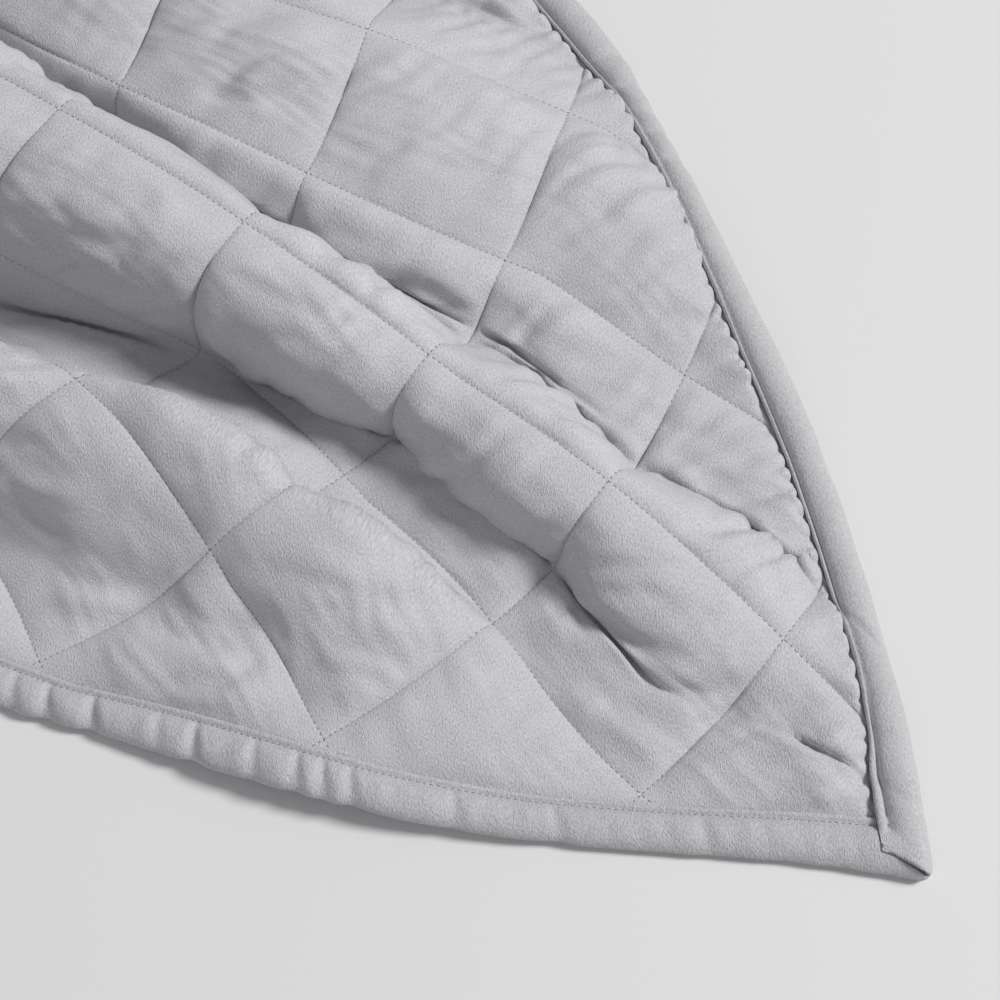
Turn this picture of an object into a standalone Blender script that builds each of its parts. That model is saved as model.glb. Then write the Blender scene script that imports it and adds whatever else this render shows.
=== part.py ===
"""A quilted blanket lying in loose diagonal folds: one filled quilt, sewn in diamonds, and the four strips
of binding folded over its edges. Metres, +Z up. The blanket rests on z = 0, centred over the origin.

Each piece is first made flat, as it is sewn, and then laid into the folds. On the flat blanket u runs left
from the right edge and v runs away from the bottom edge. p runs along the diagonal from the near corner,
which is the way the folds run, and q runs across them, towards the right edge."""

import bmesh
import bpy
import numpy as np

# Sizes as sewn, laid flat
WIDTH = 0.76
LENGTH = 1.00
CELL = 0.1016  # between neighbouring seams of the quilting, which run along p and along q
FIRST_SEAM_P = 0.1117  # the first seam across the corner
FIRST_SEAM_Q = 0.0309  # the seam nearest to the diagonal
CELL_STEPS = 8  # mesh steps from seam to seam
SHORTEST_STEP = 0.2  # share of a mesh step that is left beside the binding
ON_SEAM = 0.25  # share of a mesh step within which a face counts as lying on a seam

# Thickness, from the middle of the cloth to its face
SEAM_HALF = 0.0015
TOP_PUFF = 0.0080
UNDER_PUFF = 0.0055
ACROSS_POWER = 0.50  # how the filling swells beside the seams across the folds: under 1, so close to them
ALONG_POWER = 0.70  # and beside the seams along the folds, which are drawn tighter
EDGE_PUFF_REACH = 0.035  # how far from the binding the filling is at its full height
REST_HEIGHT = 0.004  # of the middle of the cloth where it lies on the floor

# Binding
BINDING = 0.024  # from the outer edge to the sewn inner edge
TONGUE = 0.0055  # how far the quilt reaches into the binding
GAP = 0.0003
# Half of the binding's section, from its sewn edge round to the outer fold: share of the width, and height
BINDING_HALF_SECTION = [
    (1.00, 0.0026),
    (0.72, 0.0041),
    (0.34, 0.0043),
    (0.09, 0.0029),
]

# Lines that the folds follow, from the bottom edge to the right edge. Each lies at q = offset + drift * p,
# but no further right than its rightmost q. Its height grows from p = starts to p = full, and is gone again
# between p = fades and p = gone. The flank between a line and the one before it bends in over its round
# shares, low towards the bottom edge and high towards the right edge, and its cloth is drawn in by a share
# of its run.
FOLD_LINES = [
    # name, offset, drift, rightmost, height, starts, full, fades, gone, drawn in, round low, round high
    ("near foot", -0.046, -0.616, 1.0, 0.000, 0.00, 0.40, 0.60, 0.90, 0.00, 0.26, 0.26),
    ("near ridge", 0.008, -0.435, 1.0, 0.054, 0.13, 0.39, 0.55, 0.86, 0.00, 0.40, 0.35),
    ("deep valley", -0.018, -0.245, 1.0, 0.001, 0.00, 0.30, 0.70, 1.00, 0.27, 0.22, 0.15),
    ("tuck", 0.085, -0.398, -0.033, 0.004, 0.05, 0.45, 0.66, 1.00, 0.00, 0.30, 0.30),
    ("main ridge", 0.031, 0.000, 1.0, 0.089, 0.00, 0.445, 0.66, 1.06, 0.35, 0.15, 0.75),
    ("back valley", 0.067, 0.071, 1.0, 0.026, 0.14, 0.62, 0.66, 1.00, 0.44, 0.20, 0.24),
    ("broad ridge", 0.115, 0.040, 1.0, 0.053, 0.10, 0.53, 0.55, 0.85, 0.28, 0.26, 0.30),
    ("far ridge", 0.097, 0.310, 1.0, 0.059, 0.10, 0.53, 0.54, 0.80, 0.38, 0.30, 0.30),
    ("right foot", 0.176, 0.350, 1.0, 0.000, 0.00, 0.40, 0.60, 0.90, 0.00, 0.26, 0.26),
]
START_ROUND = 0.45  # the low round share where the folds begin
FIRM_FROM = 0.6  # share of its height from which a fold has its own round shares
DRAW_ROUND = 0.26  # share of a flank's width over which the drawing in starts and ends
NARROWEST_FLANK = 0.01
FLANK_SAMPLES = 401
STEEPEST = 140.0  # degrees, more than any flank leans
LEAST_GAIN = 0.15  # a flank leans no further once more angle gains less than this share of the first gain
SOFT_LIMIT = 8.0  # how sharply a value stops short of the most that it can have
TIGHTEST_BEND = 0.42  # most height of a face in a hollow fold, as a share of the fold's radius

# Places where the cloth stands off the floor by itself
LIFTS = [
    # name, p, q, height, reach
    ("lifted bottom edge", 0.210, -0.180, 0.010, 0.050),
]

# How the cloth turns and draws in on the floor
NEAR_CORNER = (0.4744, -0.4937)
FOLD_HEADING = 151.1  # degrees from +X, of the folds far from the corner
CORNER_TURN = 24.7  # how far the folds turn from there at the corner
CORNER_TURN_REACH = 0.20
CORNER_STRETCH = 0.08  # the corner is pulled out along the diagonal
CORNER_STRETCH_REACH = 0.08
CLIMB = 0.045  # share of the diagonal's length on the floor that the climb of the folds takes up
CLIMB_START, CLIMB_GROWS = 0.08, 0.15
CLIMB_END, CLIMB_FADES = 0.50, 0.30
ACROSS_HEADING = 48.3  # of a line across the folds, on the diagonal
ACROSS_TURN = 36.0  # the most that it turns from there
RIGHT_TURN_RATE = 141.0  # degrees for each metre towards the right edge
LEFT_TURN_RATE = 94.0
DRAWN_IN = 0.95  # width that the quilting leaves
RIGHT_GATHER, RIGHT_GATHER_REACH = 0.14, 0.09
BOTTOM_GATHER, BOTTOM_GATHER_REACH = 0.12, 0.06

# Steps of the worked-out surface, and how far it reaches past the blanket's corners
P_STEP, Q_STEP = 0.005, 0.002
MARGIN = 0.02

QUILT_COLOUR = (0.56, 0.56, 0.58)
BINDING_COLOUR = (0.50, 0.50, 0.52)
ROUGHNESS = 0.85


def clear_scene():
    for obj in list(bpy.data.objects):
        bpy.data.objects.remove(obj, do_unlink=True)


def smooth(t):
    """0 up to t = 0 and 1 from t = 1, with a soft start and end."""
    t = np.clip(t, 0.0, 1.0)
    return t * t * (3.0 - 2.0 * t)


def flank_window(t, round_low, round_high):
    """1 along the middle of a flank, and 0 on the fold lines at its two sides."""
    return smooth(t / round_low) * smooth((1.0 - t) / round_high)


def steepness_table(round_low, round_high):
    """The rise of a flank as a share of its cloth, for each angle of its steepest part."""
    angles = np.radians(np.arange(STEEPEST))
    window = flank_window(np.linspace(0.0, 1.0, FLANK_SAMPLES), round_low, round_high)
    shares = np.array([np.mean(np.sin(angle * window)) for angle in angles])
    gain = np.gradient(shares, angles)
    last = int(np.argmax(gain < LEAST_GAIN * gain[0]))
    return shares[:last], angles[:last]


def lean(share, t, round_low, round_high):
    """Slope in radians at each place across a flank, from its rise as a share of its cloth."""
    shares, angles = steepness_table(round_low, round_high)
    return np.interp(share, shares, angles) * flank_window(t, round_low, round_high)


def slope_angles(p, q):
    """At each p and q, the slope of the cloth across the folds in radians, and how much of its run is left."""
    slope, kept = np.zeros_like(p), np.ones_like(p)
    lines = []
    place = np.full_like(p, -(WIDTH + LENGTH))
    for _, offset, drift, rightmost, height, starts, full, fades, gone, draw, low, high in FOLD_LINES:
        grown = smooth((p - starts) / (full - starts)) * (1.0 - smooth((p - fades) / (gone - fades)))
        place = np.maximum(np.minimum(offset + drift * p, rightmost), place + NARROWEST_FLANK)
        lines.append((place, grown, height * grown, draw * grown**2, low, high))
    reached = np.zeros_like(p)
    for (q_low, grown_low, *_), (q_high, grown_high, z_high, draw, low, high) in zip(lines, lines[1:]):
        width = q_high - q_low
        t = (q - q_low) / width
        up = np.sign(z_high - reached)
        most = steepness_table(low, high)[0][-1]
        share = np.abs(z_high - reached) / width
        share = share / (1.0 + (share / most) ** SOFT_LIMIT) ** (1.0 / SOFT_LIMIT)
        reached += share * up * width
        firm = smooth(np.maximum(grown_low, grown_high) / FIRM_FROM)
        slope += up * (firm * lean(share, t, low, high) + (1.0 - firm) * lean(share, t, START_ROUND, high))
        kept -= draw * flank_window(t, DRAW_ROUND, DRAW_ROUND)
    return slope, kept


def fold_heading(p):
    return np.radians(FOLD_HEADING - CORNER_TURN * np.exp(-p / CORNER_TURN_REACH))


def across_heading(q):
    rate = np.where(q > 0.0, RIGHT_TURN_RATE, LEFT_TURN_RATE)
    return np.radians(ACROSS_HEADING + ACROSS_TURN * np.tanh(rate * q / ACROSS_TURN))


def drawn_in(p, q):
    """Width that the cloth keeps on the floor, less where the binding gathers it."""
    from_right = (p - q) / np.sqrt(2.0)
    from_bottom = (p + q) / np.sqrt(2.0)
    right = RIGHT_GATHER * (1.0 - smooth(from_right / RIGHT_GATHER_REACH))
    bottom = BOTTOM_GATHER * (1.0 - smooth(from_bottom / BOTTOM_GATHER_REACH))
    return DRAWN_IN - np.where(q > 0.0, right, bottom)


def climbing(p):
    """Share of the diagonal's length that the folds take up as they climb and fall along p."""
    grown = smooth((p - CLIMB_START) / CLIMB_GROWS)
    return CLIMB * grown * (1.0 - smooth((p - CLIMB_END) / CLIMB_FADES))


def running_sum(values, step, axis):
    """The integral of the values from the first of them along an axis."""
    summed = np.cumsum(values, axis=axis) * step
    return summed - np.take(summed, [0], axis=axis)


def folded_surface():
    """Points and normals of the middle of the cloth, and how sharply it bends up, on a grid of p and q."""
    p_line = np.arange(-MARGIN, (WIDTH + LENGTH) / np.sqrt(2.0) + MARGIN, P_STEP)
    q_line = np.arange(-WIDTH / np.sqrt(2.0) - MARGIN, LENGTH / np.sqrt(2.0) + MARGIN, Q_STEP)
    p, q = np.meshgrid(p_line, q_line, indexing="ij")
    slope, kept = slope_angles(p, q)
    stretch = 1.0 + CORNER_STRETCH * np.exp(-np.maximum(p_line, 0.0) / CORNER_STRETCH_REACH)
    stretch -= climbing(p_line)
    level = np.cos(slope) * kept * drawn_in(p, q)
    middle = int(np.argmin(np.abs(q_line - FIRST_SEAM_Q)))
    points = np.zeros(p.shape + (3,))
    for axis, part in enumerate((np.cos, np.sin)):
        along = running_sum(part(fold_heading(p_line)) * stretch, P_STEP, 0)
        across = running_sum(level * part(across_heading(q)), Q_STEP, 1)
        points[:, :, axis] = along[:, None] + across - across[:, middle : middle + 1]
    points[:, :, 2] = REST_HEIGHT + running_sum(np.sin(slope), Q_STEP, 1)
    for _, lift_p, lift_q, height, reach in LIFTS:
        away = ((p - lift_p) ** 2 + (q - lift_q) ** 2) / (2.0 * reach**2)
        points[:, :, 2] += height * np.exp(-away)
    corner = points[int(np.argmin(np.abs(p_line))), int(np.argmin(np.abs(q_line)))]
    points[:, :, :2] += np.array(NEAR_CORNER) - corner[:2]
    normals = np.cross(np.gradient(points, Q_STEP, axis=1), np.gradient(points, P_STEP, axis=0))
    normals /= np.linalg.norm(normals, axis=2, keepdims=True)
    run = np.gradient(points, Q_STEP, axis=1)
    bends = -np.sum(np.gradient(normals, Q_STEP, axis=1) * run, axis=2, keepdims=True)
    bends /= np.sum(run**2, axis=2, keepdims=True)
    return p_line[0], q_line[0], points, normals, bends


def lay(surface, flat):
    """Moves flat points, rows of u, v and height over the middle of the cloth, into the folds. Where the
    cloth bends tightly towards a point, the point is held back, so that the bend's two sides stay apart."""
    p_first, q_first, points, normals, bends = surface
    u, v, height = flat.T
    row = ((u + v) / np.sqrt(2.0) - p_first) / P_STEP
    column = ((v - u) / np.sqrt(2.0) - q_first) / Q_STEP
    i, j = row.astype(int), column.astype(int)
    a, b = (row - i)[:, None], (column - j)[:, None]

    def between(grid):
        near = grid[i, j] * (1.0 - b) + grid[i, j + 1] * b
        far = grid[i + 1, j] * (1.0 - b) + grid[i + 1, j + 1] * b
        return near * (1.0 - a) + far * a

    height = height[:, None]
    squeeze = np.maximum(height * between(bends), 0.0) / TIGHTEST_BEND
    height = height / (1.0 + squeeze**SOFT_LIMIT) ** (1.0 / SOFT_LIMIT)
    laid = between(points) + between(normals) * height
    laid[:, 2] = np.maximum(laid[:, 2], 0.0)
    return laid


def lay_mesh(surface, bm):
    flat = np.array([vert.co for vert in bm.verts])
    for vert, point in zip(bm.verts, lay(surface, flat)):
        vert.co = point


def puff(u, v):
    """How full the quilting is, from 0 on the seams and at the binding to 1 in the middle of a diamond."""
    p, q = (u + v) / np.sqrt(2.0), (v - u) / np.sqrt(2.0)
    across = np.abs(np.sin(np.pi * (p - FIRST_SEAM_P) / CELL))
    along = np.abs(np.sin(np.pi * (q - FIRST_SEAM_Q) / CELL))
    from_edge = min(u, v, WIDTH - u, LENGTH - v) - BINDING - GAP
    at_edge = np.sin(0.5 * np.pi * np.clip(from_edge / EDGE_PUFF_REACH, 0.0, 1.0))
    return (across * at_edge) ** ACROSS_POWER * along**ALONG_POWER


def grid_lines(size, anchor):
    """Mesh lines across one side: the tongue's end, the binding's edge, then lines that meet every crossing."""
    step = CELL * np.sqrt(2.0) / CELL_STEPS
    tip, sewn = BINDING - TONGUE + GAP, BINDING + GAP
    nearest = sewn + SHORTEST_STEP * step
    lines = np.arange(anchor % step, size, step)
    clear = [x for x in lines if nearest < x < size - nearest]
    return [tip, sewn, *clear, size - sewn, size - tip]


def crossing():
    """u and v of the first crossing of the seams."""
    return (FIRST_SEAM_P - FIRST_SEAM_Q) / np.sqrt(2.0), (FIRST_SEAM_P + FIRST_SEAM_Q) / np.sqrt(2.0)


def split_quads(bm):
    """Splits each flat quad along the folds, or along the seam that crosses it."""
    for face in [face for face in bm.faces if len(face.verts) == 4]:
        corners = sorted(face.verts, key=lambda vert: (round(vert.co.x + vert.co.y, 5), vert.co.z))
        middle = face.calc_center_median()
        seams = ((middle.x + middle.y) / np.sqrt(2.0) - FIRST_SEAM_P) / CELL
        inside = BINDING < min(middle.x, middle.y, WIDTH - middle.x, LENGTH - middle.y)
        on_seam = inside and abs(seams - round(seams)) < ON_SEAM / CELL_STEPS
        ends = corners[1:3] if on_seam else [corners[0], corners[3]]
        if not any(ends[1] in edge.verts for edge in ends[0].link_edges):
            bmesh.utils.face_split(face, ends[0], ends[1])


def cloth_material(name, colour):
    material = bpy.data.materials.new(name)
    material.use_nodes = True
    shader = material.node_tree.nodes["Principled BSDF"]
    shader.inputs["Base Color"].default_value = (*colour, 1.0)
    shader.inputs["Roughness"].default_value = ROUGHNESS
    shader.inputs["Metallic"].default_value = 0.0
    return material


def finish(bm, name, material, collection):
    bmesh.ops.recalc_face_normals(bm, faces=bm.faces[:])
    if bm.calc_volume(signed=True) < 0.0:
        bmesh.ops.reverse_faces(bm, faces=bm.faces[:])
    mesh = bpy.data.meshes.new(name)
    bm.to_mesh(mesh)
    bm.free()
    mesh.materials.append(material)
    mesh.shade_smooth()
    collection.objects.link(bpy.data.objects.new(name, mesh))


def make_quilt(surface, collection):
    """The two faces of the quilt and the filling between them, as one body drawn in along its seams."""
    crossing_u, crossing_v = crossing()
    us, vs = grid_lines(WIDTH, crossing_u), grid_lines(LENGTH, crossing_v)
    bm = bmesh.new()
    bmesh.ops.create_grid(bm, x_segments=len(us) - 1, y_segments=len(vs) - 1, size=0.5)
    for vert in bm.verts:
        column = round((vert.co.x + 0.5) * (len(us) - 1))
        row = round((vert.co.y + 0.5) * (len(vs) - 1))
        vert.co = (us[column], vs[row], 0.0)
    made = bmesh.ops.extrude_face_region(bm, geom=bm.faces[:], use_keep_orig=True)
    under = {item for item in made["geom"] if isinstance(item, bmesh.types.BMVert)}
    for vert in bm.verts:
        full = puff(vert.co.x, vert.co.y)
        vert.co.z = -SEAM_HALF - UNDER_PUFF * full if vert in under else SEAM_HALF + TOP_PUFF * full
    split_quads(bm)
    lay_mesh(surface, bm)
    finish(bm, "quilt_panel", cloth_material("quilt cloth", QUILT_COLOUR), collection)


def binding_section():
    """The binding's closed section: distance from the outer edge, and height over the middle of the cloth."""
    upper = [(share * BINDING, height) for share, height in BINDING_HALF_SECTION]
    slot = SEAM_HALF + GAP
    lower = [(away, -height) for away, height in reversed(upper)]
    tip = BINDING - TONGUE
    return [*upper, (0.0, 0.0), *lower, (BINDING, -slot), (tip, -slot), (tip, slot), (BINDING, slot)]


def make_binding(surface, collection, side, length, anchor, to_flat):
    """A strip folded over one edge of the quilt, swept along it, with mitred ends."""
    section = binding_section()
    stations = [0.0, *grid_lines(length, anchor)[1:-1], length]
    bm = bmesh.new()
    cap = bm.faces.new([bm.verts.new((0.0, away, height)) for away, height in section])
    for number, station in enumerate(stations):
        if number:
            made = bmesh.ops.extrude_face_region(bm, geom=[cap, *cap.edges])
            cap = next(item for item in made["geom"] if isinstance(item, bmesh.types.BMFace))
        for vert in cap.verts:
            mitre = vert.co.y + GAP / np.sqrt(2.0)
            vert.co.x = min(max(station, mitre), length - mitre)
    for vert in bm.verts:
        vert.co.x, vert.co.y = to_flat(vert.co.x, vert.co.y)
    split_quads(bm)
    lay_mesh(surface, bm)
    finish(bm, "binding_" + side, cloth_material("binding " + side, BINDING_COLOUR), collection)


def main():
    clear_scene()
    collection = bpy.data.collections.new("quilted_blanket")
    bpy.context.scene.collection.children.link(collection)
    surface = folded_surface()
    make_quilt(surface, collection)
    crossing_u, crossing_v = crossing()
    sides = [
        ("bottom", WIDTH, crossing_u, lambda along, away: (along, away)),
        ("right", LENGTH, crossing_v, lambda along, away: (away, along)),
        ("top", WIDTH, crossing_u, lambda along, away: (along, LENGTH - away)),
        ("left", LENGTH, crossing_v, lambda along, away: (WIDTH - away, along)),
    ]
    for side, length, anchor, to_flat in sides:
        make_binding(surface, collection, side, length, anchor, to_flat)


main()
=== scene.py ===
# The looks of the quilted blanket. Each cloth is made flat, with its filling, gathers and creases, and then
# laid into the folds of the CAD. On the flat blanket u runs left from the right edge and v runs away from the
# bottom edge. p runs along the diagonal from the near corner, as the folds do, and q runs across the folds,
# towards the right edge. Metres, +Z up.

import math

import bmesh
import bpy
import numpy as np
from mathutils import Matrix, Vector


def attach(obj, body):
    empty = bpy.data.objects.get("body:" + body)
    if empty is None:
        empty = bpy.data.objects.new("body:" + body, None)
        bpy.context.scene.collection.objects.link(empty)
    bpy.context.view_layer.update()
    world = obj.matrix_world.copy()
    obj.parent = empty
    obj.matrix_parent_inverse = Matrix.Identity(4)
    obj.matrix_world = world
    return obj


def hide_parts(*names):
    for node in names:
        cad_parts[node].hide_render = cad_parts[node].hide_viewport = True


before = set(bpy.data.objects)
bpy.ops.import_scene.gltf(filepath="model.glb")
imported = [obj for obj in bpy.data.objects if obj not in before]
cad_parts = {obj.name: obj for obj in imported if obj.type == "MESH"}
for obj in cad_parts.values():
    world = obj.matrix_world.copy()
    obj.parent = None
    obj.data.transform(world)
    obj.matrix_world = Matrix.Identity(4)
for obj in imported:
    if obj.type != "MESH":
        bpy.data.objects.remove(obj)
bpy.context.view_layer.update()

# Sizes as sewn, laid flat, as in the CAD
WIDTH = 0.76
LENGTH = 1.00
CELL = 0.1016
FIRST_SEAM_P = 0.1117
FIRST_SEAM_Q = 0.0309
BINDING = 0.024
TONGUE = 0.0055
GAP = 0.0003
ROOT_TWO = math.sqrt(2.0)

# Folds, as in the CAD, but the near ridge starts 30 mm later, so that the fine cloth has no sharp step
# beside the deep valley
FOLD_LINES = [
    # name, offset, drift, rightmost, height, starts, full, fades, gone, drawn in, round low, round high
    ("near foot", -0.046, -0.616, 1.0, 0.000, 0.00, 0.40, 0.60, 0.90, 0.00, 0.26, 0.26),
    ("near ridge", 0.008, -0.435, 1.0, 0.054, 0.16, 0.39, 0.55, 0.86, 0.00, 0.40, 0.35),
    ("deep valley", -0.018, -0.245, 1.0, 0.001, 0.00, 0.30, 0.70, 1.00, 0.27, 0.22, 0.15),
    ("tuck", 0.085, -0.398, -0.033, 0.004, 0.05, 0.45, 0.66, 1.00, 0.00, 0.30, 0.30),
    ("main ridge", 0.031, 0.000, 1.0, 0.089, 0.00, 0.445, 0.66, 1.06, 0.35, 0.15, 0.75),
    ("back valley", 0.067, 0.071, 1.0, 0.026, 0.14, 0.62, 0.66, 1.00, 0.44, 0.20, 0.24),
    ("broad ridge", 0.115, 0.040, 1.0, 0.053, 0.10, 0.53, 0.55, 0.85, 0.28, 0.26, 0.30),
    ("far ridge", 0.097, 0.310, 1.0, 0.059, 0.10, 0.53, 0.54, 0.80, 0.38, 0.30, 0.30),
    ("right foot", 0.176, 0.350, 1.0, 0.000, 0.00, 0.40, 0.60, 0.90, 0.00, 0.26, 0.26),
]
START_ROUND = 0.45  # of a flank that has only begun to rise
FIRM_FROM = 0.6  # share of its growth from which a flank has its own roundness
DRAW_ROUND = 0.26
STEEPEST = 140.0  # degrees
WINDOW_POINTS = 401
LEAST_GAIN = 0.15
SOFT_LIMIT = 8.0
TIGHTEST_BEND = 0.42
NARROWEST_FLANK = 0.01
LEFT_OF_ALL = -9.0
LIFTS = [
    # name, p, q, height, reach
    ("lifted bottom edge", 0.210, -0.180, 0.010, 0.050),
]
REST_HEIGHT = 0.004
NEAR_CORNER = (0.4744, -0.4937)
FOLD_HEADING = 151.1
CORNER_TURN = 24.7
CORNER_TURN_REACH = 0.20
CORNER_STRETCH = 0.08
CORNER_STRETCH_REACH = 0.08
CLIMB = 0.045  # share of the run along the folds that goes into their rise
CLIMB_STARTS, CLIMB_GROWS = 0.08, 0.15
CLIMB_ENDS, CLIMB_FADES = 0.5, 0.3
ACROSS_HEADING = 48.3
ACROSS_TURN = 36.0
RIGHT_TURN_RATE = 141.0
LEFT_TURN_RATE = 94.0
DRAWN_IN = 0.95
RIGHT_GATHER, RIGHT_GATHER_REACH = 0.14, 0.09
BOTTOM_GATHER, BOTTOM_GATHER_REACH = 0.12, 0.06
P_STEP, Q_STEP = 0.0025, 0.001
MARGIN = 0.02
FLOOR_GAP = 0.0003

# Thickness, from the middle of the cloth to its face
SEAM_HALF = 0.0015
TOP_PUFF = 0.0095
UNDER_PUFF = 0.0055
PLUMPNESS, PLUMPNESS_SIZE = 0.12, 0.11  # how unevenly the diamonds are filled
ACROSS_POWER = 0.46  # of the swelling beside the seams that run across the folds
ALONG_POWER = 0.72  # beside the seams that run along the folds, which are drawn tighter
EDGE_REACH = {"right": 0.0060, "bottom": 0.026, "left": 0.026, "top": 0.026}
RIGHT_FILL_START = 0.0231  # from the right edge, close against the lip

# Along the right binding, whose sewing pinches the quilt into small notches
PINCH_PITCH = 0.0096
PINCH_SHARPNESS = 1.5
NOTCH_DEPTH = 0.0024
NOTCH_SOFTNESS = 1.6
FLAP_START, FLAP_FULL = 0.064, 0.030
FLAP_WIDTH, FLAP_HEIGHT = 0.0030, 0.0012

# Mesh lines of the face cloth: fine where the photo is close, and finest beside the seams
NEAR_P = (0.0, 0.62)
NEAR_Q = (-0.34, 0.43)
NEAR_STEP = 0.0026
FAR_STEP = 0.012
SEAM_OFFSETS = (0.0, 0.0006, 0.0014, 0.0026, 0.0042)
FAR_SEAM_OFFSETS = (0.0, 0.0014, 0.0042)
UNDER_STEP = 0.008
FINE_REACH = 0.011  # of the finer mesh beside the right binding
FINE_CUTS = 2

# Unevenness of the faces
NOISE_SIZE = 256
GATHERS = [
    # pitch, reach from the seam, height, seed
    (0.0105, 0.022, 0.0024, 3),
    (0.0055, 0.009, 0.0010, 5),
]
GATHER_LENGTH = 0.035
SEAM_CLEAR = 0.004
FURROW_ROUND = 0.010  # how soft the furrows of the wrinkles are
WRINKLES = {
    # name: height, length, spacing, slant, bend along, bend across, seed
    "long": (0.0064, 0.070, 0.019, 0.20, 2.0, 1.0, 13),
    "slack": (0.0024, 0.080, 0.026, 0.25, 1.0, 1.0, 14),
    "small": (0.0022, 0.050, 0.012, 0.00, 1.0, -1.0, 23),
    "drawn": (0.0056, 0.080, 0.011, 0.25, 1.0, 1.0, 17),
}
WRINKLE_BEND, WRINKLE_BEND_SIZE = 0.012, 0.06
LUMP_HEIGHT, LUMP_SIZE = 0.0014, 0.036
DRAWN_REACH = 0.065  # of the wrinkles that the right binding's sewing draws
PINCH_DEPTH, PINCH_REACH = 0.0045, 0.024

# The single creases that stand out most, as soft ridges or furrows on the flat cloth
CREASES = [
    # p, q, heading in degrees from p towards q, half length, half width, height
    (0.165, -0.035, 145, 0.040, 0.009, 0.0034),
    (0.155, -0.015, 150, 0.035, 0.006, -0.0024),
    (0.140, -0.060, 160, 0.026, 0.006, 0.0024),
    (0.145, -0.048, 155, 0.026, 0.005, -0.0020),
    (0.200, 0.015, 150, 0.010, 0.005, 0.0018),
    (0.225, 0.005, 160, 0.018, 0.006, 0.0020),
    (0.195, 0.085, 20, 0.020, 0.006, 0.0022),
    (0.165, 0.100, 140, 0.012, 0.005, 0.0018),
    (0.140, 0.075, 0, 0.018, 0.007, 0.0016),
    (0.205, 0.105, 165, 0.016, 0.005, -0.0018),
    (0.300, 0.095, 10, 0.014, 0.005, 0.0018),
    (0.330, 0.115, 15, 0.016, 0.006, 0.0030),
    (0.335, 0.105, 10, 0.018, 0.005, -0.0022),
    (0.365, 0.075, 110, 0.040, 0.006, -0.0024),
    (0.375, 0.110, 165, 0.030, 0.007, 0.0030),
    (0.395, 0.120, 155, 0.020, 0.006, 0.0024),
    (0.350, 0.175, 120, 0.018, 0.008, -0.0016),
    (0.365, 0.210, 135, 0.020, 0.008, 0.0016),
    (0.380, 0.155, 120, 0.022, 0.006, 0.0018),
    (0.430, 0.155, 150, 0.014, 0.005, -0.0016),
    (0.470, 0.155, 110, 0.020, 0.008, -0.0016),
    (0.290, -0.005, 130, 0.028, 0.005, -0.0018),
    (0.290, -0.020, 130, 0.028, 0.006, 0.0018),
    (0.400, -0.040, 35, 0.014, 0.005, 0.0018),
    (0.465, 0.025, 0, 0.018, 0.007, 0.0020),
    (0.240, -0.070, 0, 0.012, 0.006, 0.0016),
    (0.285, -0.090, 90, 0.030, 0.007, 0.0014),
    (0.205, -0.100, 160, 0.014, 0.006, 0.0018),
    (0.290, -0.205, 150, 0.020, 0.008, -0.0016),
    (0.325, -0.235, 115, 0.022, 0.007, 0.0016),
    (0.385, -0.215, 145, 0.020, 0.006, 0.0022),
    (0.380, -0.235, 175, 0.016, 0.006, -0.0022),
]

# Stitches
STITCH_PITCH = 0.0031
STITCH_LENGTH = 0.0022
STITCH_RADIUS = 0.00028
STITCH_LIFT = 0.00015
STITCH_LINE = 0.0202
STITCH_LINE_HEIGHT = 0.0027
STITCH_MARGIN = 0.002
SEAM_SPAN = 1.3  # longer than any seam
SEAM_NUMBERS = range(-12, 13)

CLOTH_COLOUR = (0.56, 0.56, 0.58)
BINDING_COLOUR = (0.52, 0.52, 0.535)
# The thread's dark grey is painted shade, standing in for the shade in the needle pits and dips between the
# stitches
THREAD_PAINTED_SHADE_COLOUR = (0.20, 0.20, 0.215)
FLOOR_COLOUR = (0.745, 0.745, 0.745)


def smooth(t):
    """0 up to t = 0 and 1 from t = 1, with a soft start and end."""
    t = np.clip(t, 0.0, 1.0)
    return t * t * (3.0 - 2.0 * t)


def noise(x, y, seed):
    """Smooth noise between about -1 and 1, with one swell to each unit of x and y."""
    angles = np.random.default_rng(seed).uniform(0.0, 2.0 * np.pi, (NOISE_SIZE, NOISE_SIZE))
    i, j = np.floor(x).astype(int), np.floor(y).astype(int)
    a, b = x - i, y - j

    def corner(di, dj):
        angle = angles[(i + di) % NOISE_SIZE, (j + dj) % NOISE_SIZE]
        return np.cos(angle) * (a - di) + np.sin(angle) * (b - dj)

    s, t = smooth(a), smooth(b)
    near = corner(0, 0) * (1.0 - s) + corner(1, 0) * s
    far = corner(0, 1) * (1.0 - s) + corner(1, 1) * s
    return 1.5 * (near * (1.0 - t) + far * t)


def flank_window(t, round_low, round_high):
    """How much of its steepest slope a flank has at each place across it, from 0 to 1."""
    return smooth(t / round_low) * smooth((1.0 - t) / round_high)


def steepness_table(round_low, round_high):
    """Rise of a flank as a share of its cloth, for each steepest angle while more angle gains enough."""
    angles = np.radians(np.arange(STEEPEST))
    window = flank_window(np.linspace(0.0, 1.0, WINDOW_POINTS), round_low, round_high)
    shares = np.array([np.mean(np.sin(angle * window)) for angle in angles])
    gain = np.gradient(shares, angles)
    last = int(np.argmax(gain < LEAST_GAIN * gain[0]))
    return shares[:last], angles[:last]


def lean(share, t, round_low, round_high):
    """Slope in radians at each place across a flank, from its rise as a share of its cloth."""
    shares, angles = steepness_table(round_low, round_high)
    return np.interp(share, shares, angles) * flank_window(t, round_low, round_high)


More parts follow.
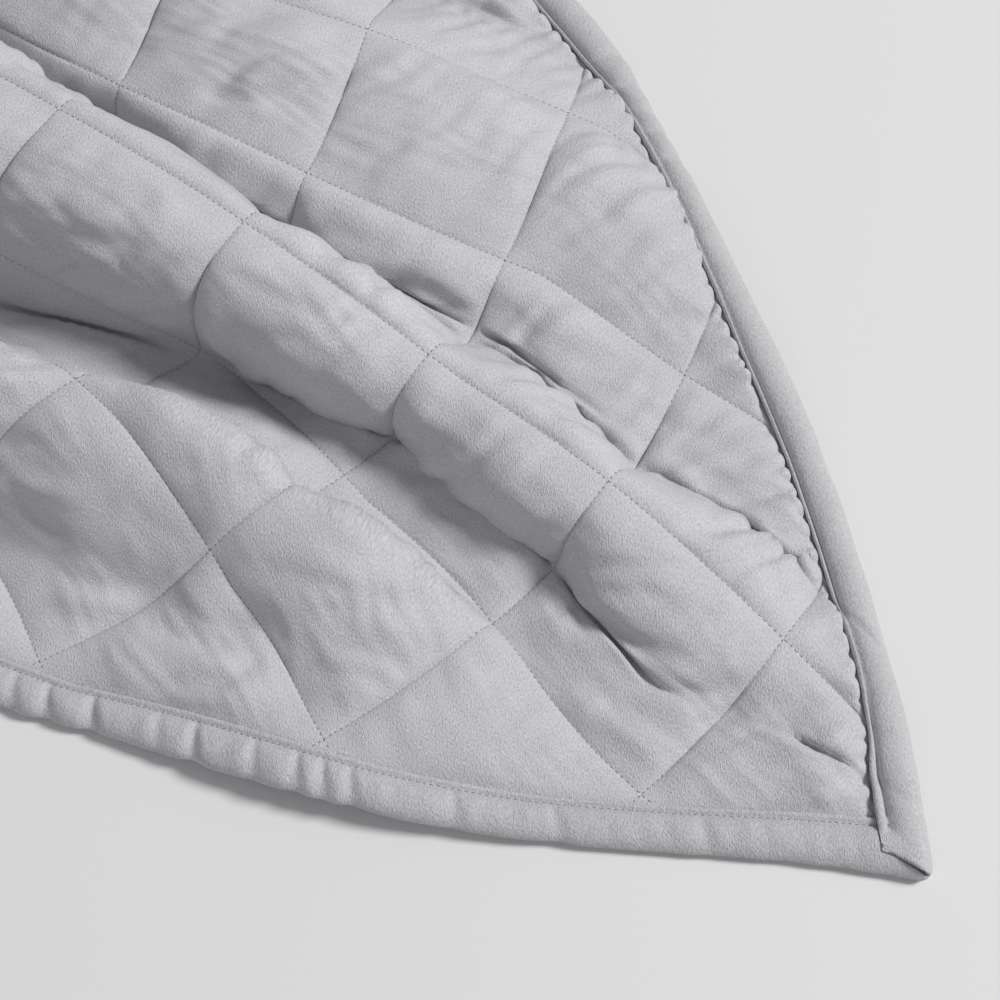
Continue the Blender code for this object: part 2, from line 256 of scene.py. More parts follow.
def slope_angles(p, q):
    """Slope of the cloth across the folds, in radians, and the share left of its run, at each p and q."""
    slope, kept = np.zeros_like(p), np.ones_like(p)
    lines = []
    place = np.full_like(p, LEFT_OF_ALL)
    for _, offset, drift, rightmost, height, starts, full, fades, gone, draw, low, high in FOLD_LINES:
        grown = smooth((p - starts) / (full - starts)) * (1.0 - smooth((p - fades) / (gone - fades)))
        place = np.maximum(np.minimum(offset + drift * p, rightmost), place + NARROWEST_FLANK)
        lines.append((place, grown, height * grown, draw * grown**2, low, high))
    reached = np.zeros_like(p)
    for (q_low, grown_low, *_), (q_high, grown_high, z_high, draw, low, high) in zip(lines, lines[1:]):
        width = q_high - q_low
        t = (q - q_low) / width
        up = np.sign(z_high - reached)
        most = steepness_table(low, high)[0][-1]
        share = np.abs(z_high - reached) / width
        share = share / (1.0 + (share / most) ** SOFT_LIMIT) ** (1.0 / SOFT_LIMIT)
        reached += share * up * width
        firm = smooth(np.maximum(grown_low, grown_high) / FIRM_FROM)
        grown_lean = lean(share, t, low, high)
        early_lean = lean(share, t, START_ROUND, high)
        slope += up * (firm * grown_lean + (1.0 - firm) * early_lean)
        kept -= draw * flank_window(t, DRAW_ROUND, DRAW_ROUND)
    return slope, kept


def running_sum(values, step, axis):
    """Sum of the values from the grid's start, times the step."""
    summed = np.cumsum(values, axis=axis) * step
    return summed - np.take(summed, [0], axis=axis)


def folded_surface():
    """Points and normals of the middle of the cloth, and how sharply it bends up, on a grid of p and q."""
    p_line = np.arange(-MARGIN, (WIDTH + LENGTH) / ROOT_TWO + MARGIN, P_STEP)
    q_line = np.arange(-WIDTH / ROOT_TWO - MARGIN, LENGTH / ROOT_TWO + MARGIN, Q_STEP)
    p, q = np.meshgrid(p_line, q_line, indexing="ij")
    slope, kept = slope_angles(p, q)
    stretch = 1.0 + CORNER_STRETCH * np.exp(-np.maximum(p_line, 0.0) / CORNER_STRETCH_REACH)
    climbing = smooth((p_line - CLIMB_STARTS) / CLIMB_GROWS)
    stretch -= CLIMB * climbing * (1.0 - smooth((p_line - CLIMB_ENDS) / CLIMB_FADES))
    right = RIGHT_GATHER * (1.0 - smooth((p - q) / ROOT_TWO / RIGHT_GATHER_REACH))
    bottom = BOTTOM_GATHER * (1.0 - smooth((p + q) / ROOT_TWO / BOTTOM_GATHER_REACH))
    level = np.cos(slope) * kept * (DRAWN_IN - np.where(q > 0.0, right, bottom))
    along_heading = np.radians(FOLD_HEADING - CORNER_TURN * np.exp(-p_line / CORNER_TURN_REACH))
    rate = np.where(q > 0.0, RIGHT_TURN_RATE, LEFT_TURN_RATE)
    across_heading = np.radians(ACROSS_HEADING + ACROSS_TURN * np.tanh(rate * q / ACROSS_TURN))
    middle = int(np.argmin(np.abs(q_line - FIRST_SEAM_Q)))
    points = np.zeros(p.shape + (3,))
    for axis, part in enumerate((np.cos, np.sin)):
        along = running_sum(part(along_heading) * stretch, P_STEP, 0)
        across = running_sum(level * part(across_heading), Q_STEP, 1)
        points[:, :, axis] = along[:, None] + across - across[:, middle : middle + 1]
    points[:, :, 2] = REST_HEIGHT + running_sum(np.sin(slope), Q_STEP, 1)
    for _, lift_p, lift_q, height, reach in LIFTS:
        away = ((p - lift_p) ** 2 + (q - lift_q) ** 2) / (2.0 * reach**2)
        points[:, :, 2] += height * np.exp(-away)
    corner = points[int(np.argmin(np.abs(p_line))), int(np.argmin(np.abs(q_line)))]
    points[:, :, :2] += np.array(NEAR_CORNER) - corner[:2]
    normals = np.cross(np.gradient(points, Q_STEP, axis=1), np.gradient(points, P_STEP, axis=0))
    normals /= np.linalg.norm(normals, axis=2, keepdims=True)
    run = np.gradient(points, Q_STEP, axis=1)
    bends = -np.sum(np.gradient(normals, Q_STEP, axis=1) * run, axis=2, keepdims=True)
    bends /= np.sum(run**2, axis=2, keepdims=True)
    return p_line[0], q_line[0], points, normals, bends


SURFACE = folded_surface()


def lay(p, q, height):
    """World points of flat ones, given by p, q and height over the middle of the cloth."""
    p_first, q_first, points, normals, bends = SURFACE
    row, column = (p - p_first) / P_STEP, (q - q_first) / Q_STEP
    i, j = row.astype(int), column.astype(int)
    a, b = (row - i)[:, None], (column - j)[:, None]

    def between(grid):
        near = grid[i, j] * (1.0 - b) + grid[i, j + 1] * b
        far = grid[i + 1, j] * (1.0 - b) + grid[i + 1, j + 1] * b
        return near * (1.0 - a) + far * a

    height = height[:, None]
    squeeze = np.maximum(height * between(bends), 0.0) / TIGHTEST_BEND
    height = height / (1.0 + squeeze**SOFT_LIMIT) ** (1.0 / SOFT_LIMIT)
    laid = between(points) + between(normals) * height
    laid[:, 2] = np.maximum(laid[:, 2], FLOOR_GAP)
    return laid


def uv_of(p, q):
    return (p - q) / ROOT_TWO, (p + q) / ROOT_TWO


def pq_of(u, v):
    return (u + v) / ROOT_TWO, (v - u) / ROOT_TWO


def pinches(v):
    """Along the right binding: 1 where its sewing pinches the quilt in, and 0 between."""
    phase = v / PINCH_PITCH + 0.45 * noise(v / 0.031, np.zeros_like(v), 61)
    sharp = (1.0 - np.abs(np.sin(np.pi * phase))) ** PINCH_SHARPNESS
    return sharp * (0.65 + 0.35 * noise(v / 0.013, np.ones_like(v), 62))


def corner_flap(v):
    """1 by the near corner, where the right binding's lip widens to a flap, and 0 further along."""
    return smooth((FLAP_START - v) / (FLAP_START - FLAP_FULL))


def edge_fill(u, v):
    """0 at the binding and 1 where the filling is at its full height."""
    fill = np.ones_like(u)
    pinched = pinches(v)
    from_bindings = {
        "right": u - RIGHT_FILL_START - FLAP_WIDTH * corner_flap(v) - NOTCH_DEPTH * pinched,
        "bottom": v - BINDING - GAP,
        "left": WIDTH - u - BINDING - GAP,
        "top": LENGTH - v - BINDING - GAP,
    }
    for side, away in from_bindings.items():
        reach = EDGE_REACH[side] * (1.0 + (NOTCH_SOFTNESS * pinched if side == "right" else 0.0))
        fill = fill * np.sin(0.5 * np.pi * np.clip(away / reach, 0.0, 1.0)) ** ACROSS_POWER
    return fill


def puff(p, q):
    """How full the quilting is, from 0 on the seams and at the binding to 1 in the middle of a diamond."""
    across = np.abs(np.sin(np.pi * (p - FIRST_SEAM_P) / CELL))
    along = np.abs(np.sin(np.pi * (q - FIRST_SEAM_Q) / CELL))
    return across**ACROSS_POWER * along**ALONG_POWER * edge_fill(*uv_of(p, q))


def seam_distance(x, first):
    """Distance along p or q from the nearest seam across it."""
    return np.abs((x - first + 0.5 * CELL) % CELL - 0.5 * CELL)


def gathers(p, q):
    """Short soft ridges that run off the seams, where the sewing has drawn the cloth in."""
    near_p, near_q = seam_distance(p, FIRST_SEAM_P), seam_distance(q, FIRST_SEAM_Q)
    patchy = 0.55 + 0.75 * noise(p / 0.06, q / 0.06, 7)
    total = np.zeros_like(p)
    for pitch, reach, height, seed in GATHERS:
        off_p = noise(p / GATHER_LENGTH, q / pitch, seed) * np.exp(-near_p / reach)
        off_p = off_p * smooth(near_p / SEAM_CLEAR)
        off_q = noise(p / pitch, q / GATHER_LENGTH, seed + 20) * np.exp(-near_q / reach)
        off_q = off_q * smooth(near_q / SEAM_CLEAR)
        total += height * np.maximum(patchy, 0.1) * (off_p + off_q)
    return total


def creased(x, y, seed):
    """Between 0 and 1: soft rounded swells with sharper furrows between them."""
    return np.clip(1.6 * np.sqrt(noise(x, y, seed) ** 2 + FURROW_ROUND), 0.0, 1.0) ** 0.7


def wrinkle(name, along, across, bend):
    """One kind of wrinkle: ridges along one direction, of its height from furrow to crest."""
    height, length, spacing, slant, bend_along, bend_across, seed = WRINKLES[name]
    x = (along + bend_along * bend) / length
    y = (across + slant * along + bend_across * bend) / spacing
    return height * (creased(x, y, seed) - 0.5)


def wrinkles(p, q):
    """Soft uneven creases over the faces of the diamonds."""
    u, v = uv_of(p, q)
    bend = WRINKLE_BEND * noise(u / WRINKLE_BEND_SIZE, v / WRINKLE_BEND_SIZE, 11)
    patchy = np.clip(0.6 + 0.9 * noise(u / 0.08, v / 0.08, 12), 0.1, 1.4)
    spread = wrinkle("long", u, v, bend) + wrinkle("slack", p, q, bend) + wrinkle("small", u + v, v - u, bend)
    total = patchy * spread + LUMP_HEIGHT * noise(u / LUMP_SIZE, v / LUMP_SIZE, 19)
    from_right = np.maximum(u - BINDING, 0.0)
    total += wrinkle("drawn", u, v, bend) * np.exp(-from_right / DRAWN_REACH)
    pinched = pinches(v + 0.3 * from_right) * noise(v / 0.02, u / 0.05, 27) ** 2
    total -= PINCH_DEPTH * pinched * np.exp(-from_right / PINCH_REACH)
    for crease_p, crease_q, heading, length, width, height in CREASES:
        c, d = math.cos(math.radians(heading)), math.sin(math.radians(heading))
        along = ((p - crease_p) * c + (q - crease_q) * d) / length
        across = ((q - crease_q) * c - (p - crease_p) * d) / width + 0.9 * along**2
        total += height * np.exp(-(across**2)) * np.exp(-(along**4))
    return total


def face_height(p, q):
    """Height of the face cloth over the middle of the quilt."""
    full = puff(p, q)
    plumpness = 1.0 + PLUMPNESS * noise(p / PLUMPNESS_SIZE, q / PLUMPNESS_SIZE, 29)
    uneven = (gathers(p, q) + wrinkles(p, q)) * np.minimum(1.0, 1.8 * full)
    return SEAM_HALF + TOP_PUFF * full * plumpness + uneven


def under_height(p, q):
    """Height of the under cloth over the middle of the quilt, which is negative."""
    return -SEAM_HALF - UNDER_PUFF * puff(p, q)


def mesh_lines(start, end, first_seam, near):
    """Places of the mesh lines along p or q: at each seam, beside it, and evenly between."""
    lines = []
    seam = first_seam - CELL * math.ceil((first_seam - start) / CELL)
    while seam < end:
        fine = near[0] - CELL < seam < near[1]
        offsets = SEAM_OFFSETS if fine else FAR_SEAM_OFFSETS
        step = NEAR_STEP if fine else FAR_STEP
        inner = CELL - 2.0 * offsets[-1]
        between = np.linspace(0.0, inner, round(inner / step) + 1)[1:-1] + offsets[-1]
        lines += [seam + x for x in (*offsets, *between, *(CELL - y for y in reversed(offsets[1:])))]
        seam += CELL
    return np.array([x for x in lines if start <= x <= end])


def make_object(name, bm, material):
    mesh = bpy.data.meshes.new(name)
    bm.to_mesh(mesh)
    bm.free()
    mesh.materials.append(material)
    mesh.shade_smooth()
    piece = bpy.data.objects.new(name, mesh)
    bpy.context.scene.collection.objects.link(piece)
    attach(piece, "root")
    return piece


def keep_flat_places(mesh, flat):
    """Stores where each point lies on the flat cloth, which the weave follows."""
    places = mesh.attributes.new("flat", "FLOAT_VECTOR", "POINT")
    places.data.foreach_set("vector", flat.astype(np.float32).ravel())


def make_cloth(name, p_lines, q_lines, height_of, material, fine_right_edge):
    """One cloth of the quilt, from a grid of p and q that is cut off inside the bindings."""
    tip = BINDING - TONGUE + GAP
    p, q = np.meshgrid(p_lines, q_lines, indexing="ij")
    u, v = uv_of(p, q)
    inside = (u > tip) & (u < WIDTH - tip) & (v > tip) & (v < LENGTH - tip)
    used = inside[:-1, :-1] | inside[1:, :-1] | inside[:-1, 1:] | inside[1:, 1:]
    index = np.arange(p.size).reshape(p.shape)
    quads = np.stack([index[:-1, :-1], index[:-1, 1:], index[1:, 1:], index[1:, :-1]], axis=-1)[used]
    kept, quads = np.unique(quads, return_inverse=True)
    mesh = bpy.data.meshes.new("flat cloth")
    flat = np.stack([u.ravel()[kept], v.ravel()[kept], np.zeros(len(kept))], axis=1)
    mesh.from_pydata(flat.tolist(), [], quads.reshape(-1, 4).tolist())
    bm = bmesh.new()
    bm.from_mesh(mesh)
    bpy.data.meshes.remove(mesh)
    cuts = [
        ((tip, 0.0, 0.0), (1.0, 0.0, 0.0)),
        ((WIDTH - tip, 0.0, 0.0), (-1.0, 0.0, 0.0)),
        ((0.0, tip, 0.0), (0.0, 1.0, 0.0)),
        ((0.0, LENGTH - tip, 0.0), (0.0, -1.0, 0.0)),
    ]
    for place, inwards in cuts:
        geometry = [*bm.verts, *bm.edges, *bm.faces]
        bmesh.ops.bisect_plane(bm, geom=geometry, plane_co=place, plane_no=inwards, clear_inner=True)
    if fine_right_edge:
        places = {vert: vert.co.x < tip + FINE_REACH and vert.co.y < NEAR_REACH for vert in bm.verts}
        edges = [edge for edge in bm.edges if all(places[vert] for vert in edge.verts)]
        bmesh.ops.subdivide_edges(bm, edges=edges, cuts=FINE_CUTS, use_grid_fill=True)
    flat = np.array([vert.co for vert in bm.verts])
    p, q = pq_of(flat[:, 0], flat[:, 1])
    for vert, point in zip(bm.verts, lay(p, q, height_of(p, q))):
        vert.co = point
    piece = make_object(name, bm, material)
    keep_flat_places(piece.data, flat)
    return piece


# Half sections of a binding's upper side, from the sewn inner edge out to the fold
FLAT_LIP = [
    # from the outer edge, height
    (0.0240, 0.0019),
    (0.0239, 0.0032),
    (0.0231, 0.0038),
    (0.0217, 0.0035),
    (0.0208, 0.0026),
    (0.0202, 0.0026),
    (0.0192, 0.0040),
    (0.0172, 0.0054),
    (0.0145, 0.0064),
    (0.0115, 0.0068),
    (0.0085, 0.0066),
    (0.0058, 0.0059),
    (0.0034, 0.0048),
    (0.0016, 0.0034),
    (0.0005, 0.0017),
    (0.0000, 0.0002),
]
STANDING_LIP = [
    (0.0222, 0.0019),
    (0.0229, 0.0032),
    (0.0229, 0.0046),
    (0.0223, 0.0054),
    (0.0216, 0.0053),
    (0.0211, 0.0044),
    (0.0208, 0.0036),
    (0.0203, 0.0036),
    (0.0194, 0.0052),
    (0.0178, 0.0067),
    (0.0152, 0.0077),
    (0.0120, 0.0081),
    (0.0088, 0.0078),
    (0.0058, 0.0068),
    (0.0032, 0.0053),
    (0.0014, 0.0036),
    (0.0004, 0.0018),
    (0.0000, 0.0002),
]
LOWER_SIDE = [
    (0.0006, -0.0012),
    (0.0024, -0.0026),
    (0.0070, -0.0035),
    (0.0140, -0.0037),
    (0.0200, -0.0031),
    (0.0236, -0.0024),
    (0.0236, -0.0018),
    (0.0185, -0.0018),
    (0.0185, 0.0018),
]
BOTTOM_FURROWS = [
    # along the bottom edge from the near corner, depth
    (0.105, 0.25),
    (0.168, 0.35),
    (0.212, 0.45),
    (0.258, 0.80),
    (0.271, 1.00),
    (0.283, 0.80),
    (0.304, 0.60),
    (0.334, 0.90),
    (0.352, 0.35),
    (0.385, 1.10),
    (0.407, 1.00),
    (0.424, 0.60),
    (0.446, 0.80),
    (0.472, 0.70),
    (0.498, 0.90),
    (0.547, 0.60),
    (0.602, 0.80),
    (0.661, 0.50),
]
RIGHT_FURROWS = [
    # along the right edge from the near corner, depth
    (0.355, 0.40),
    (0.372, 0.55),
    (0.386, 0.50),
    (0.402, 0.60),
    (0.421, 0.45),
    (0.468, 0.50),
    (0.533, 0.60),
    (0.590, 0.40),
    (0.664, 0.60),
    (0.741, 0.50),
    (0.838, 0.60),
]
FAR_FURROWS = [
    # along an edge that the photo doesn't show, depth
    (0.094, 0.6),
    (0.171, 0.8),
    (0.263, 0.5),
    (0.352, 0.9),
    (0.447, 0.6),
    (0.541, 0.8),
    (0.638, 0.5),
]
TIP_ROUND, TIP_SHARE = 0.009, 0.30
MITRE_GAP = 0.0004
MITRE_END = BINDING + 0.004  # along a strip, where its lines are level again
LAP_SLOPE = 0.35  # of the right strip's end over the bottom one, from the outer corner
LAP_END = 0.0256  # how far the right strip's lip reaches over the bottom one
LAP_HEIGHT, LAP_SOFT = 0.0012, 0.003
TUBE_REACH = 0.0205  # from the outer edge to the stitches
LIP_START, LIP_TOP = 0.0204, 0.0222
PUCKER_HEIGHT = 0.0008
EDGE_WAVE = 0.0009
FURROW_DEPTH, FURROW_DRAW, FURROW_LEAN = 0.0030, 0.0018, 0.002
FURROW_WIDTH, FURROW_FLARE = 0.0012, 0.0042
CORNER_ROWS = 14
NEAR_STATION, FAR_STATION = 0.0013, 0.005
NEAR_REACH = 0.58


def station_places(length, first):
    """Distances along a binding between its two mitres, closer where the photo is."""
    near_end = min(NEAR_REACH, length - first)
    near = np.arange(first, near_end, NEAR_STATION)
    far = np.arange(near_end, length - first, FAR_STATION)
    return np.concatenate([near, far, [length - first]])


def first_places(side, away, on_top):
    """How far along its edge each line of a strip begins: at a mitre, or where the right strip's end laps."""
    if side == "right":
        return np.where(on_top, LAP_SLOPE * away, away)
    if side == "bottom":
        return np.where(on_top, np.minimum(away / LAP_SLOPE, LAP_END), away)
    return away


def make_binding(side, length, to_flat, section, shape, material):
    """A folded strip swept along one edge, with its ends run out to the mitres."""
    away0 = np.array([away for away, _ in (*section, *LOWER_SIDE)])
    height0 = np.array([height for _, height in (*section, *LOWER_SIDE)])
    on_top = np.arange(len(away0)) < len(section)
    middle = station_places(length, MITRE_END)
    fan = np.linspace(0.0, 1.0, CORNER_ROWS, endpoint=False)[:, None]
    start = (1.0 - fan) * (first_places(side, away0, on_top) + MITRE_GAP) + fan * MITRE_END
    end = length - ((1.0 - fan[::-1]) * (away0 + MITRE_GAP) + fan[::-1] * MITRE_END)
    along = np.concatenate([start, np.repeat(middle[:, None], len(away0), axis=1), end])
    away = np.repeat(away0[None, :], len(along), axis=0)
    height = np.repeat(height0[None, :], len(along), axis=0)
    away, height = shape(along, away, height, on_top)
    u, v = to_flat(along.ravel(), away.ravel())
    for corner_u, corner_v in ((0.0, 0.0), (WIDTH, 0.0), (0.0, LENGTH), (WIDTH, LENGTH)):
        from_corner = np.abs(u - corner_u) + np.abs(v - corner_v)
        inwards = TIP_SHARE * np.maximum(TIP_ROUND - from_corner, 0.0) ** 2 / TIP_ROUND
        u = u + inwards * (1.0 if corner_u == 0.0 else -1.0)
        v = v + inwards * (1.0 if corner_v == 0.0 else -1.0)
    p, q = pq_of(u, v)
    points = lay(p, q, height.ravel())
    rows, columns = along.shape
    index = np.arange(rows * columns).reshape(rows, columns)
    after = np.roll(index, -1, axis=1)
    quads = np.stack([index[:-1], index[1:], after[1:], after[:-1]], axis=-1).reshape(-1, 4)
    mesh = bpy.data.meshes.new("strip")
    mesh.from_pydata(points.tolist(), [], [*quads.tolist(), index[0].tolist(), index[-1, ::-1].tolist()])
    bm = bmesh.new()
    bm.from_mesh(mesh)
    bpy.data.meshes.remove(mesh)
    bmesh.ops.recalc_face_normals(bm, faces=bm.faces[:])
    if bm.calc_volume(signed=True) < 0.0:
        bmesh.ops.reverse_faces(bm, faces=bm.faces[:])
    piece = make_object("edge_" + side, bm, material)
    keep_flat_places(piece.data, np.stack([u, v, height.ravel()], axis=1))
    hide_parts("binding_" + side)
    return piece


def soft_binding(seed, furrows=(), strength=1.0):
    """Small uneven puckers across a binding, the given furrows in it, and a slightly uneven outer edge."""

    def shape(along, away, height, upper):
        outwards = np.clip((TUBE_REACH - away) / TUBE_REACH, 0.0, 1.0)
        belly = np.sin(np.pi * outwards)
        puckers = noise(along / 0.0085, away / 0.03, seed) + 0.6 * noise(along / 0.018, away / 0.03, seed + 1)
        height = height + np.where(upper, strength * PUCKER_HEIGHT * belly * puckers, 0.0)
        waves = noise(along / 0.020, np.zeros_like(along), seed + 2)
        away = away + EDGE_WAVE * strength * waves * outwards**2
        for place, depth in furrows:
            width = FURROW_WIDTH + FURROW_FLARE * outwards
            furrow = depth * np.exp(-(((along - place + FURROW_LEAN * outwards) / width) ** 2))
            height = height - np.where(upper, FURROW_DEPTH * furrow * np.sqrt(belly), 0.0)
            away = away + FURROW_DRAW * furrow * outwards**2
        return away, height

    return shape


def right_binding(seed):
    """As soft as the others, with a lip that widens to a flap by the near corner, where its end laps."""
    soft = soft_binding(seed, RIGHT_FURROWS, 0.8)
    lapped_away, lapped_height = np.array(FLAT_LIP[::-1]).T

    def shape(along, away, height, upper):
        soft_away, soft_height = soft(along, away, height, upper)
        flap = corner_flap(along)
        lip = np.where(upper & (away > LIP_START), smooth((away - LIP_START) / 0.0012), 0.0)
        inner = np.where(upper & (away > LIP_TOP), 1.0, 0.3) * lip
        soft_away = soft_away + FLAP_WIDTH * flap * inner
        soft_height = soft_height + FLAP_HEIGHT * flap * lip
        lapping = upper & (along < BINDING + LAP_SOFT)
        raised = LAP_HEIGHT * smooth((BINDING + LAP_SOFT - along) / LAP_SOFT)
        lapped = (np.interp(along, lapped_away, lapped_height) + raised) * smooth(away / 0.007)
        return soft_away, np.where(lapping, np.maximum(soft_height, lapped), soft_height)

    return shape


def make_stitches(name, p, q, height, heading_p, heading_q, material):
    """Short spindle-shaped stitches, each along its heading on the flat cloth."""
    half = 0.5 * STITCH_LENGTH
    ring = [
        # along, sideways and up, the last two in radii
        (-half, 0.0, -0.6),
        (0.0, 1.0, 0.0),
        (0.0, 0.0, 1.0),
        (0.0, -1.0, 0.0),
        (0.0, 0.0, -1.0),
        (half, 0.0, -0.6),
    ]
    corners = []
    for along, side, up in ring:
        corner_p = p + along * heading_p - side * STITCH_RADIUS * heading_q
        corner_q = q + along * heading_q + side * STITCH_RADIUS * heading_p
        corners.append(lay(corner_p, corner_q, height + STITCH_LIFT + up * STITCH_RADIUS))
    points = np.stack(corners, axis=1).reshape(-1, 3)
    faces = [(0, 2, 1), (0, 3, 2), (0, 4, 3), (0, 1, 4), (5, 1, 2), (5, 2, 3), (5, 3, 4), (5, 4, 1)]
    first = 6 * np.arange(len(p))[:, None, None]
    triangles = (first + np.array(faces)[None]).reshape(-1, 3)
    mesh = bpy.data.meshes.new("stitches")
    mesh.from_pydata(points.tolist(), [], triangles.tolist())
    bm = bmesh.new()
    bm.from_mesh(mesh)
    bpy.data.meshes.remove(mesh)
    return make_object(name, bm, material)


def seam_stitches(material):
    """The stitches of the quilting, along every seam."""
    ps, qs, along_p, along_q = [], [], [], []
    steps = np.arange(-SEAM_SPAN, SEAM_SPAN, STITCH_PITCH)
    for number in SEAM_NUMBERS:
        for p, q, direction in (
            (np.full_like(steps, FIRST_SEAM_P + number * CELL), steps, (0.0, 1.0)),
            (steps, np.full_like(steps, FIRST_SEAM_Q + number * CELL), (1.0, 0.0)),
        ):
            u, v = uv_of(p, q)
            inner = BINDING + 0.5 * STITCH_LENGTH
            inside = (u > inner) & (u < WIDTH - inner) & (v > inner) & (v < LENGTH - inner)
            ps.append(p[inside])
            qs.append(q[inside])
            along_p.append(np.full(inside.sum(), direction[0]))
            along_q.append(np.full(inside.sum(), direction[1]))
    p, q = np.concatenate(ps), np.concatenate(qs)
    heading_p, heading_q = np.concatenate(along_p), np.concatenate(along_q)
    height = face_height(p, q)
    return make_stitches("quilting_stitches", p, q, height, heading_p, heading_q, material)


def binding_stitches(side, length, to_flat, shape, material):
    """The row of stitches that holds a binding down, just outside its lip."""
    along = np.arange(BINDING + STITCH_MARGIN, length - BINDING - STITCH_MARGIN, STITCH_PITCH)
    away = np.full_like(along, STITCH_LINE)
    away, height = shape(along, away, np.full_like(along, STITCH_LINE_HEIGHT), np.full(len(along), True))
    u, v = to_flat(along, away)
    ahead_u, ahead_v = to_flat(along + 0.001, away)
    p, q = pq_of(u, v)
    ahead_p, ahead_q = pq_of(ahead_u, ahead_v)
    size = np.hypot(ahead_p - p, ahead_q - q)
    heading_p, heading_q = (ahead_p - p) / size, (ahead_q - q) / size
    return make_stitches("stitches_" + side, p, q, height, heading_p, heading_q, material)


def node(tree, kind, **values):
    """A new shader node with the given settings."""
    made = tree.nodes.new(kind)
    for name, value in values.items():
        setattr(made, name, value)
    return made


def cloth_material(name, colour, grain_depth):
    """Washed crepe: fine uneven threads that run with the cloth, painted shade in the hollows of their relief
    and painted highlight on its tops, faint mottling and a soft sheen.
    """
    material = bpy.data.materials.new(name)
    material.use_nodes = True
    tree = material.node_tree
    shader = tree.nodes["Principled BSDF"]
    shader.inputs["Roughness"].default_value = 0.92
    shader.inputs["Specular IOR Level"].default_value = 0.2
    shader.inputs["Sheen Weight"].default_value = 0.25
    shader.inputs["Sheen Roughness"].default_value = 0.45
    flat = node(tree, "ShaderNodeAttribute", attribute_name="flat")

    def grain(scale, detail):
        mapping = node(tree, "ShaderNodeMapping")
        mapping.inputs["Scale"].default_value = scale
        texture = node(tree, "ShaderNodeTexNoise")
        texture.inputs["Scale"].default_value = 1.0
        texture.inputs["Detail"].default_value = detail
        tree.links.new(flat.outputs["Vector"], mapping.inputs["Vector"])
        tree.links.new(mapping.outputs["Vector"], texture.inputs["Vector"])
        return texture.outputs["Fac"]

    threads = grain((2100.0, 640.0, 400.0), 2.0)
    pebbles = grain((1000.0, 800.0, 400.0), 2.0)
    mottle = grain((26.0, 26.0, 26.0), 2.0)
    relief = node(tree, "ShaderNodeMath", operation="ADD")
    tree.links.new(threads, relief.inputs[0])
    tree.links.new(pebbles, relief.inputs[1])
    bump = node(tree, "ShaderNodeBump")
    bump.inputs["Strength"].default_value = 0.9
    bump.inputs["Distance"].default_value = grain_depth
    tree.links.new(relief.outputs["Value"], bump.inputs["Height"])
    tree.links.new(bump.outputs["Normal"], shader.inputs["Normal"])
    # Painted shade and highlight: the weave's colour is darker where its relief is low and lighter where it
    # is high
    shade = node(tree, "ShaderNodeMapRange")
    shade.inputs["From Min"].default_value = 0.7
    shade.inputs["From Max"].default_value = 1.3
    tree.links.new(relief.outputs["Value"], shade.inputs["Value"])
    weave_painted_shade_and_highlight = node(tree, "ShaderNodeMix", data_type="RGBA")
    weave_painted_shade_and_highlight.inputs[6].default_value = (*(0.82 * x for x in colour), 1.0)
    weave_painted_shade_and_highlight.inputs[7].default_value = (*(min(1.0, 1.12 * x) for x in colour), 1.0)
    tree.links.new(shade.outputs["Result"], weave_painted_shade_and_highlight.inputs[0])
    tone = node(tree, "ShaderNodeMapRange")
    tone.inputs["To Min"].default_value = 0.95
    tone.inputs["To Max"].default_value = 1.05
    tree.links.new(mottle, tone.inputs["Value"])
    toned = node(tree, "ShaderNodeVectorMath", operation="SCALE")
    tree.links.new(weave_painted_shade_and_highlight.outputs[2], toned.inputs[0])
    tree.links.new(tone.outputs["Result"], toned.inputs["Scale"])
    tree.links.new(toned.outputs["Vector"], shader.inputs["Base Color"])
    return material


def plain_material(name, colour, roughness):
    material = bpy.data.materials.new(name)
    material.use_nodes = True
    shader = material.node_tree.nodes["Principled BSDF"]
    shader.inputs["Base Color"].default_value = (*colour, 1.0)
    shader.inputs["Roughness"].default_value = roughness
    return material


# Floor, light and camera
CAMERA_AIM = (0.2884, -0.3147, 0.0)
CAMERA_HEIGHT_ANGLE = 68.0
CAMERA_DISTANCE = 1.08
CAMERA_LENS = 84.96
FLOOR_SIZE = 12.0
LIGHTS = [
    # name, place, aim, size, power, colour
    ("key", (4.63, 0.41, 4.32), (0.15, -0.15, 0.0), 1.7, 340.0, (1.0, 0.99, 0.97)),
    ("fill", (-1.4, -2.2, 1.9), (0.1, -0.2, 0.0), 2.0, 9.0, (1.0, 1.0, 1.0)),
]
SKY_COLOUR = (0.93, 0.95, 1.0, 1.0)
SKY_STRENGTH = 0.29


def add_camera():
    camera = bpy.data.objects.new("camera", bpy.data.cameras.new("camera"))
    angle = math.radians(CAMERA_HEIGHT_ANGLE)
    back = Vector((0.0, -math.cos(angle), math.sin(angle)))
    camera.location = Vector(CAMERA_AIM) + CAMERA_DISTANCE * back
    camera.rotation_euler = (math.radians(90.0 - CAMERA_HEIGHT_ANGLE), 0.0, 0.0)
    camera.data.sensor_width = 36.0
    camera.data.lens = CAMERA_LENS
    bpy.context.scene.collection.objects.link(camera)
    bpy.context.scene.camera = camera


def add_light(name, place, aim, size, power, colour):
    light = bpy.data.lights.new(name, "AREA")
    light.shape = "DISK"
    light.size = size
    light.energy = power
    light.color = colour
    lamp = bpy.data.objects.new(name, light)
    lamp.location = place
    lamp.rotation_euler = (Vector(aim) - Vector(place)).to_track_quat("-Z", "Y").to_euler()
    bpy.context.scene.collection.objects.link(lamp)


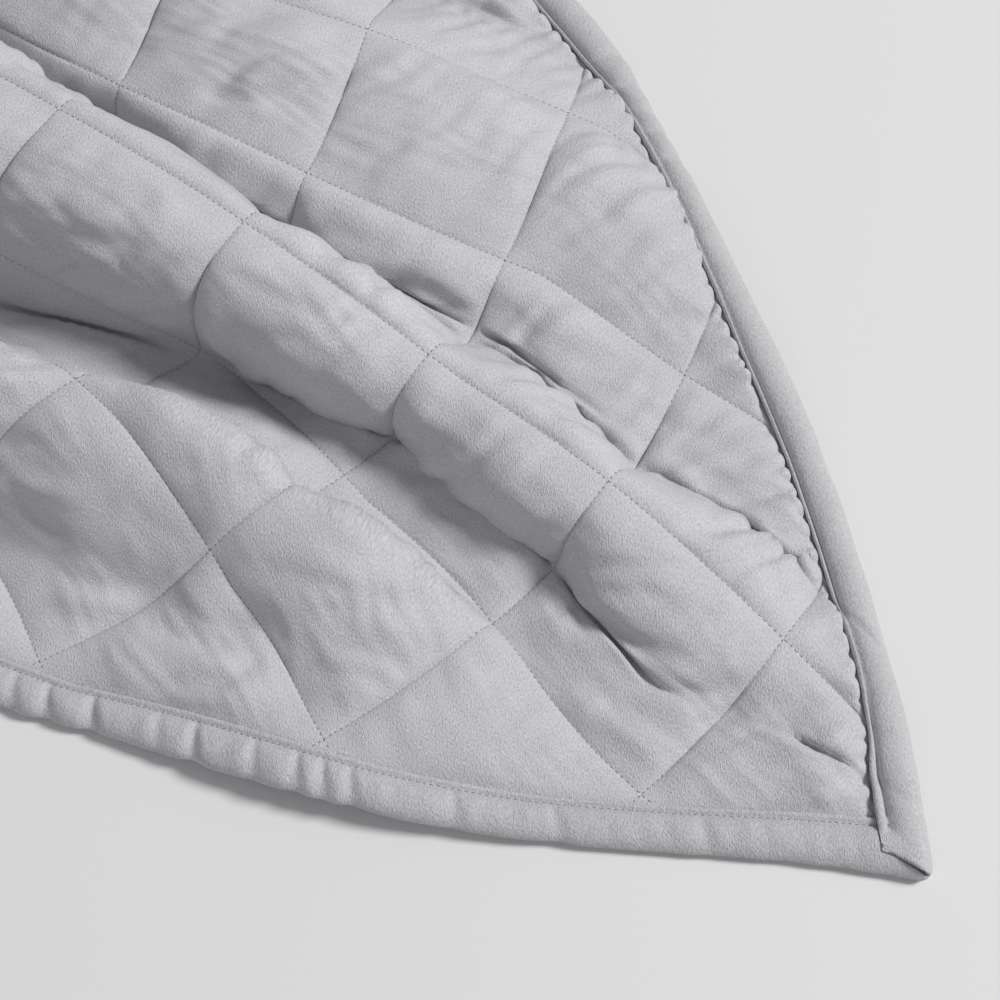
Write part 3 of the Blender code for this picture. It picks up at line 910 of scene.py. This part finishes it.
def add_studio():
    bpy.ops.mesh.primitive_plane_add(size=FLOOR_SIZE, location=(0.0, 0.0, 0.0))
    floor = bpy.context.active_object
    floor.name = "floor"
    floor.data.materials.append(plain_material("floor", FLOOR_COLOUR, 0.7))
    for name, place, aim, size, power, colour in LIGHTS:
        add_light(name, place, aim, size, power, colour)
    world = bpy.data.worlds.new("world")
    world.use_nodes = True
    background = world.node_tree.nodes["Background"]
    background.inputs["Color"].default_value = SKY_COLOUR
    background.inputs["Strength"].default_value = SKY_STRENGTH
    bpy.context.scene.world = world
    bpy.context.scene.view_settings.view_transform = "Standard"


def main():
    add_camera()
    add_studio()
    cloth = cloth_material("quilt crepe", CLOTH_COLOUR, 0.0005)
    strip = cloth_material("binding crepe", BINDING_COLOUR, 0.0005)
    # The stitches' dark grey is painted shade of the needle pits and dips between the stitches
    thread_with_painted_shade = plain_material("thread_with_painted_shade", THREAD_PAINTED_SHADE_COLOUR, 0.7)
    p_end, q_low, q_high = (WIDTH + LENGTH) / ROOT_TWO, -WIDTH / ROOT_TWO, LENGTH / ROOT_TWO
    face = make_cloth(
        "quilt_face",
        mesh_lines(0.0, p_end, FIRST_SEAM_P, NEAR_P),
        mesh_lines(q_low, q_high, FIRST_SEAM_Q, NEAR_Q),
        face_height,
        cloth,
        fine_right_edge=True,
    )
    under = make_cloth(
        "quilt_underside",
        np.arange(0.0, p_end, UNDER_STEP),
        np.arange(q_low, q_high, UNDER_STEP),
        under_height,
        cloth,
        fine_right_edge=False,
    )
    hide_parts("quilt_panel")
    stitches = seam_stitches(thread_with_painted_shade)
    sides = [
        ("bottom", WIDTH, lambda along, away: (along, away), FLAT_LIP, soft_binding(40, BOTTOM_FURROWS)),
        ("right", LENGTH, lambda along, away: (away, along), STANDING_LIP, right_binding(45)),
        ("top", WIDTH, lambda along, away: (along, LENGTH - away), FLAT_LIP, soft_binding(50, FAR_FURROWS)),
        ("left", LENGTH, lambda along, away: (WIDTH - away, along), FLAT_LIP, soft_binding(55, FAR_FURROWS)),
    ]
    for side, length, to_flat, section, shape in sides:
        make_binding(side, length, to_flat, section, shape, strip)
        binding_stitches(side, length, to_flat, shape, thread_with_painted_shade)


main()
